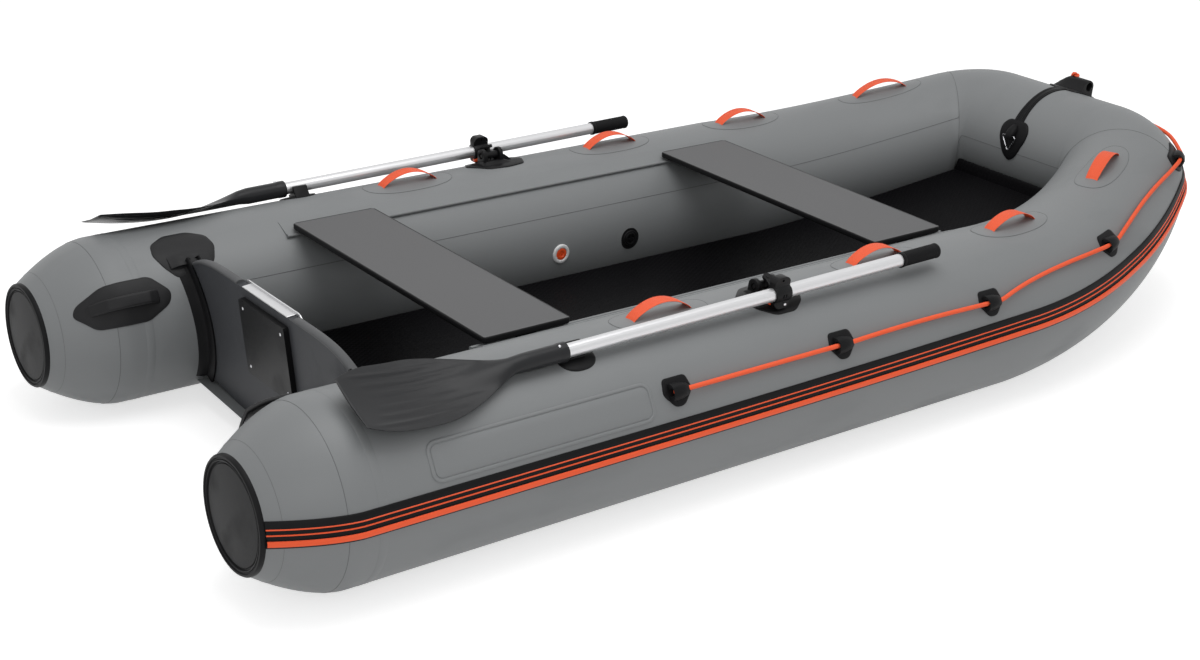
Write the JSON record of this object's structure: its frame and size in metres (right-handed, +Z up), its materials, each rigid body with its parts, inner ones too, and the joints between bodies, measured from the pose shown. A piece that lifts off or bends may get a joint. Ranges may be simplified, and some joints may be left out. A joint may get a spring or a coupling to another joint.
{
  "type": "inflatable boat",
  "caption": "Inflatable tender with a U-shaped tube hull, air deck, wooden transom, sliding bench seats and oars clamped in tilting oarlocks.",
  "frame": {"origin": "under the middle of the overall length, on the centreline, on the plane that the tubes stand on", "axes": "+X to the bow, +Y to port, +Z up"},
  "size_m": [3.4994, 1.668, 0.6182],
  "materials": {
    "hull_fabric": "matte grey coated fabric",
    "black_rubber": "matte moulded rubber",
    "strake_rubber": "ribbed rubber, black with orange lines",
    "deck_fabric": "black deck with a fine fish-scale texture",
    "black_plastic": "satin moulded plastic",
    "transom_board": "marine plywood, painted dark grey",
    "seat_board": "marine plywood, dark grey with black edges",
    "aluminium": "satin",
    "webbing": "woven orange webbing",
    "rope": "braided orange rope",
    "white_plastic": "gloss white",
    "orange_plastic": "satin orange",
    "ring_steel": "stainless wire"
  },
  "bodies": {
    "hull": {"air_deck": "deck_fabric", "bottom_skin": "hull_fabric", "bow_fitting": "black_plastic", "bow_front": "hull_fabric", "bow_side_port": "hull_fabric", "bow_side_starboard": "hull_fabric", "bow_strap": "black_rubber", "carry_handle_port": "black_rubber", "carry_handle_starboard": "black_rubber", "end_cap_port": "black_rubber", "end_cap_starboard": "black_rubber", "grab_handle_port_1": "webbing", "grab_handle_port_2": "webbing", "grab_handle_port_3": "webbing", "grab_handle_port_4": "webbing", "grab_handle_starboard_1": "webbing", "grab_handle_starboard_2": "webbing", "grab_handle_starboard_3": "webbing", "grab_handle_starboard_4": "webbing", "lifeline": "rope", "lifeline_fitting_port_1": "black_rubber", "lifeline_fitting_port_2": "black_rubber", "lifeline_fitting_port_3": "black_rubber", "lifeline_fitting_starboard_1": "black_rubber", "lifeline_fitting_starboard_2": "black_rubber", "lifeline_fitting_starboard_3": "black_rubber", "motor_pad": "black_plastic", "motor_plate": "aluminium", "oar_rest_port": "black_plastic", "oar_rest_starboard": "black_plastic", "oarlock_base_port": "black_plastic", "oarlock_base_starboard": "black_plastic", "relief_valve": "white_plastic", "rubbing_strake": "strake_rubber", "seat_track_port": "hull_fabric", "seat_track_starboard": "hull_fabric", "side_tube_port": "hull_fabric", "side_tube_starboard": "hull_fabric", "stern_cone_port": "hull_fabric", "stern_cone_starboard": "hull_fabric", "transom_board": "transom_board", "transom_holder_port": "black_rubber", "transom_holder_starboard": "black_rubber"},
    "rear_seat": {"rear_seat": "seat_board"},
    "front_seat": {"front_seat": "seat_board"},
    "towing_ring": {"towing_ring": "ring_steel"},
    "relief_plunger": {"relief_plunger": "orange_plastic"},
    "air_valve_cap": {"air_valve_cap": "black_plastic"},
    "barrel_port": {"oarlock_barrel_port": "black_plastic"},
    "oar_port": {"oar_clamp_port": "black_plastic", "oar_shaft_port": "aluminium", "oar_grip_port": "black_rubber", "oar_blade_port": "black_plastic"},
    "button_port": {"oar_button_port": "ring_steel"},
    "barrel_starboard": {"oarlock_barrel_starboard": "black_plastic"},
    "oar_starboard": {"oar_clamp_starboard": "black_plastic", "oar_shaft_starboard": "aluminium", "oar_grip_starboard": "black_rubber", "oar_blade_starboard": "black_plastic"},
    "button_starboard": {"oar_button_starboard": "ring_steel"}
  },
  "joints": [
    {"name": "oar_lift_port", "type": "hinge", "parent": "hull", "child": "barrel_port", "pos_m": [-0.251, 0.63031, 0.48102], "axis": [1, 0, 0], "range_deg": [0, 30]},
    {"name": "oar_swing_port", "type": "hinge", "parent": "barrel_port", "child": "oar_port", "pos_m": [-0.251, 0.63031, 0.48102], "axis": [0, -0.5, -0.866], "range_deg": [0, 110]},
    {"name": "oar_button_port", "type": "slide", "parent": "oar_port", "child": "button_port", "axis": [0.0128, -0.4067, -0.9135], "range_m": [0, 0.0035], "stiffness_N_per_m": 600, "springref_m": -0.002},
    {"name": "oar_lift_starboard", "type": "hinge", "parent": "hull", "child": "barrel_starboard", "pos_m": [-0.251, -0.63031, 0.48102], "axis": [-1, 0, 0], "range_deg": [0, 30]},
    {"name": "oar_swing_starboard", "type": "hinge", "parent": "barrel_starboard", "child": "oar_starboard", "pos_m": [-0.251, -0.63031, 0.48102], "axis": [0, -0.5, 0.866], "range_deg": [0, 110]},
    {"name": "oar_button_starboard", "type": "slide", "parent": "oar_starboard", "child": "button_starboard", "axis": [0.0128, 0.4067, -0.9135], "range_m": [0, 0.0035], "stiffness_N_per_m": 600, "springref_m": -0.002},
    {"name": "rear_seat_slide", "type": "slide", "parent": "hull", "child": "rear_seat", "axis": [1, 0, 0], "range_m": [-0.1, 0.45]},
    {"name": "front_seat_slide", "type": "slide", "parent": "hull", "child": "front_seat", "axis": [1, 0, 0], "range_m": [-0.45, 0.02]},
    {"name": "towing_ring_swing", "type": "hinge", "parent": "hull", "child": "towing_ring", "pos_m": [1.35014, 0, 0.46245], "axis": [0, 1, 0], "range_deg": [0, 95]},
    {"name": "relief_plunger_press", "type": "slide", "parent": "hull", "child": "relief_plunger", "axis": [0, 1, 0], "range_m": [0, 0.004], "stiffness_N_per_m": 300, "springref_m": -0.003},
    {"name": "air_valve_turn", "type": "hinge", "parent": "hull", "child": "air_valve_cap", "pos_m": [0.094, 0.369, 0.228], "axis": [0, -1, 0], "range_deg": [0, 90]}
  ]
}
